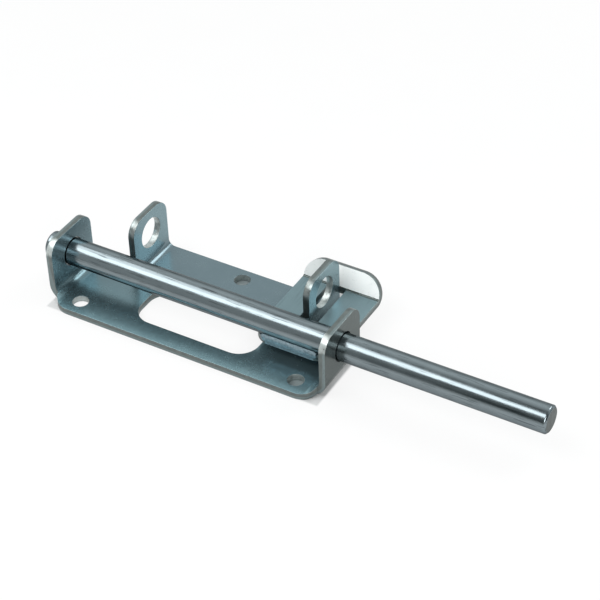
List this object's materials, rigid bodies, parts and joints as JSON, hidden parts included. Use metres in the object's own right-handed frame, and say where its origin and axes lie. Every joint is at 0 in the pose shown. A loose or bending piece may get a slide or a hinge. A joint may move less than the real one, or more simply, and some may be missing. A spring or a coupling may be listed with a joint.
{
  "type": "gate bolt latch",
  "caption": "Flat gate bolt of bent sheet steel: a round bolt slides in two guide ears, and its slotted handle plate drops over a padlock lug at each end of the throw.",
  "frame": {"origin": "midway between the two front screw holes, on the back face of the base plate, where it meets the gate", "axes": "+X along the bolt in the direction it is thrown, +Y from the front screw holes toward the handle and the lugs, +Z away from the gate"},
  "size_m": [0.2345, 0.0657, 0.0289],
  "materials": {
    "plated_sheet": "bright zinc plating on bent sheet steel, semi-mirror with a faint cool tint, matt sheared edges",
    "plated_bar": "bright zinc plating on drawn round bar, near-mirror with fine lengthwise streaks",
    "plated_weld": "zinc plating over a weld bead, mottled and half matt"
  },
  "bodies": {
    "base": {"base_plate": "plated_sheet"},
    "bolt": {"bolt_rod": "plated_bar"},
    "handle": {"handle_plate": "plated_sheet", "weld_bead": "plated_weld"}
  },
  "joints": [
    {"name": "bolt_slide", "type": "slide", "parent": "base", "child": "bolt", "axis": [1, 0, 0], "range_m": [-0.0025, 0.0018]},
    {"name": "handle_turn", "type": "hinge", "parent": "bolt", "child": "handle", "pos_m": [0.0445, 0.0135, 0.0165], "axis": [1, 0, 0], "range_deg": [-3.5, 195]}
  ]
}
